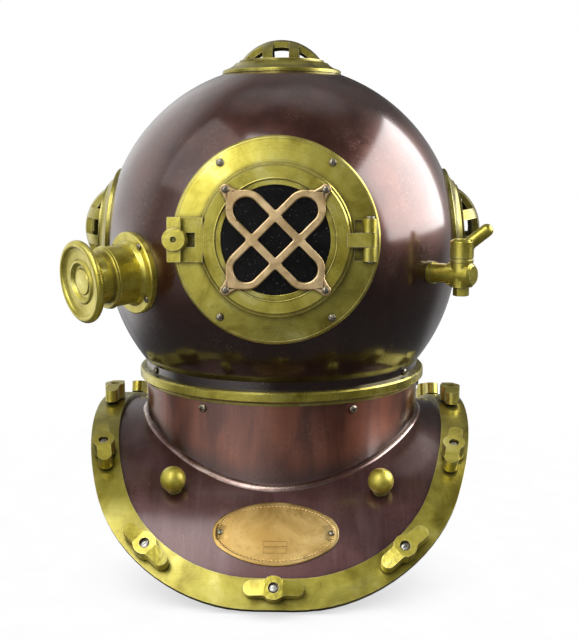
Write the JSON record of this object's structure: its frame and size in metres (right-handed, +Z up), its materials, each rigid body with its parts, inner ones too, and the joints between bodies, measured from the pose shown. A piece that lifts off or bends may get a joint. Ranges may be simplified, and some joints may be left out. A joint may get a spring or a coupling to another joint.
{
  "type": "diving helmet",
  "caption": "Copper and brass diving helmet: round bonnet with hinged barred front window, caged side and top windows, exhaust valve and spit cock, locked on a breastplate with wing nuts.",
  "frame": {"origin": "on the table under the middle of the helmet, which is the neck's axis", "axes": "+Z up along the neck's axis, -Y towards the front window, +X to the viewer's right"},
  "size_m": [0.3562, 0.4298, 0.4422],
  "materials": {
    "copper": "dark patinated copper, satin",
    "brass": "brushed, aged and lacquered",
    "dull_brass": "dull turned brass",
    "bronze": "brushed bronze",
    "steel": "plain steel, slightly tarnished",
    "window_glass": "clear polished plate glass",
    "leather": "greased",
    "rubber": "matt"
  },
  "bodies": {
    "breastplate": {"corselet": "copper", "strap_front": "brass", "strap_back": "brass", "strap_studs": "steel", "neck_ring": "dull_brass", "neck_leather": "leather", "neck_screws": "steel", "lanyard_stud_left": "brass", "lanyard_stud_right": "brass", "name_plate": "brass", "plate_screws": "steel"},
    "strap_nut_01": {"strap_nut_01": "brass"},
    "strap_nut_02": {"strap_nut_02": "brass"},
    "strap_nut_03": {"strap_nut_03": "brass"},
    "strap_nut_04": {"strap_nut_04": "brass"},
    "strap_nut_05": {"strap_nut_05": "brass"},
    "strap_nut_06": {"strap_nut_06": "brass"},
    "strap_nut_07": {"strap_nut_07": "brass"},
    "strap_nut_08": {"strap_nut_08": "brass"},
    "strap_nut_09": {"strap_nut_09": "brass"},
    "strap_nut_10": {"strap_nut_10": "brass"},
    "strap_nut_11": {"strap_nut_11": "brass"},
    "strap_nut_12": {"strap_nut_12": "brass"},
    "bonnet": {"bonnet": "copper", "bonnet_ring": "brass", "bonnet_screws": "steel", "front_frame": "brass", "frame_screws": "steel", "frame_seal": "rubber", "hinge_pin": "steel", "latch_pin": "steel", "top_ring": "brass", "top_glass": "window_glass", "top_guard": "brass", "left_ring": "brass", "left_glass": "window_glass", "left_guard": "brass", "right_ring": "brass", "right_glass": "window_glass", "right_guard": "brass", "valve_body": "brass", "valve_screws": "steel", "cock_body": "brass", "air_elbow": "brass", "phone_elbow": "brass"},
    "door": {"door_ring": "brass", "door_glass": "window_glass", "glass_retainer": "brass", "grille": "bronze", "grille_screws": "steel"},
    "swing_bolt": {"swing_bolt": "brass"},
    "door_nut": {"door_nut": "brass"},
    "handwheel": {"valve_wheel": "brass"},
    "spring_seat": {"spring_seat": "dull_brass"},
    "valve_disc": {"valve_disc": "dull_brass", "valve_spring": "steel"},
    "cock": {"cock_lever": "brass"}
  },
  "joints": [
    {"name": "bonnet_turn", "type": "hinge", "parent": "breastplate", "child": "bonnet", "pos_m": [0, 0, 0.1449], "axis": [0, 0, 1], "range_deg": [0, 45]},
    {"name": "strap_nut_01_turn", "type": "hinge", "parent": "breastplate", "child": "strap_nut_01", "pos_m": [0, -0.19741, 0.01443], "axis": [0, -0.8191, 0.5736], "continuous": true},
    {"name": "strap_nut_02_turn", "type": "hinge", "parent": "breastplate", "child": "strap_nut_02", "pos_m": [0.09989, -0.17768, 0.03902], "axis": [0, -0.7373, 0.6756], "continuous": true},
    {"name": "strap_nut_03_turn", "type": "hinge", "parent": "breastplate", "child": "strap_nut_03", "pos_m": [0.14593, -0.10185, 0.09462], "axis": [0, -0.4226, 0.9063], "continuous": true},
    {"name": "strap_nut_04_turn", "type": "hinge", "parent": "breastplate", "child": "strap_nut_04", "pos_m": [0.15575, 0, 0.1172], "axis": [0, 0, 1], "continuous": true},
    {"name": "strap_nut_05_turn", "type": "hinge", "parent": "breastplate", "child": "strap_nut_05", "pos_m": [0.14593, 0.10185, 0.09462], "axis": [0, 0.4226, 0.9063], "continuous": true},
    {"name": "strap_nut_06_turn", "type": "hinge", "parent": "breastplate", "child": "strap_nut_06", "pos_m": [0.09989, 0.17768, 0.03902], "axis": [0, 0.7373, 0.6756], "continuous": true},
    {"name": "strap_nut_07_turn", "type": "hinge", "parent": "breastplate", "child": "strap_nut_07", "pos_m": [0, 0.19741, 0.01443], "axis": [0, 0.8191, 0.5736], "continuous": true},
    {"name": "strap_nut_08_turn", "type": "hinge", "parent": "breastplate", "child": "strap_nut_08", "pos_m": [-0.09989, 0.17768, 0.03902], "axis": [0, 0.7373, 0.6756], "continuous": true},
    {"name": "strap_nut_09_turn", "type": "hinge", "parent": "breastplate", "child": "strap_nut_09", "pos_m": [-0.14593, 0.10185, 0.09462], "axis": [0, 0.4226, 0.9063], "continuous": true},
    {"name": "strap_nut_10_turn", "type": "hinge", "parent": "breastplate", "child": "strap_nut_10", "pos_m": [-0.15575, 0, 0.1172], "axis": [0, 0, 1], "continuous": true},
    {"name": "strap_nut_11_turn", "type": "hinge", "parent": "breastplate", "child": "strap_nut_11", "pos_m": [-0.14593, -0.10185, 0.09462], "axis": [0, -0.4226, 0.9063], "continuous": true},
    {"name": "strap_nut_12_turn", "type": "hinge", "parent": "breastplate", "child": "strap_nut_12", "pos_m": [-0.09989, -0.17768, 0.03902], "axis": [0, -0.7373, 0.6756], "continuous": true},
    {"name": "door_swing", "type": "hinge", "parent": "bonnet", "child": "door", "pos_m": [0.072, -0.15329, 0.27876], "axis": [0, 0.0958, 0.9954], "range_deg": [0, 125]},
    {"name": "bolt_swing", "type": "hinge", "parent": "bonnet", "child": "swing_bolt", "pos_m": [-0.0765, -0.14284, 0.27775], "axis": [0, -0.0958, -0.9954], "range_deg": [0, 95]},
    {"name": "door_nut_turn", "type": "hinge", "parent": "swing_bolt", "child": "door_nut", "pos_m": [-0.0765, -0.15757, 0.27917], "axis": [0, -0.9954, 0.0958], "continuous": true},
    {"name": "valve_wheel_turn", "type": "hinge", "parent": "bonnet", "child": "handwheel", "pos_m": [-0.15285, -0.12826, 0.24354], "axis": [0.7631, 0.6403, 0.0872], "range_deg": [0, 540]},
    {"name": "spring_seat_slide", "type": "slide", "parent": "bonnet", "child": "spring_seat", "axis": [0.7631, 0.6403, 0.0872], "range_m": [0, 0.003]},
    {"name": "valve_lift", "type": "slide", "parent": "bonnet", "child": "valve_disc", "axis": [-0.7631, -0.6403, -0.0872], "range_m": [0, 0.004], "stiffness_N_per_m": 150},
    {"name": "cock_turn", "type": "hinge", "parent": "bonnet", "child": "cock", "pos_m": [0.14775, -0.11134, 0.248], "axis": [0, 0, 1], "range_deg": [-90, 0]}
  ],
  "couplings": [
    {"joint": "spring_seat_slide", "follows": "valve_wheel_turn", "m_per_rad": 0.00031831}
  ]
}
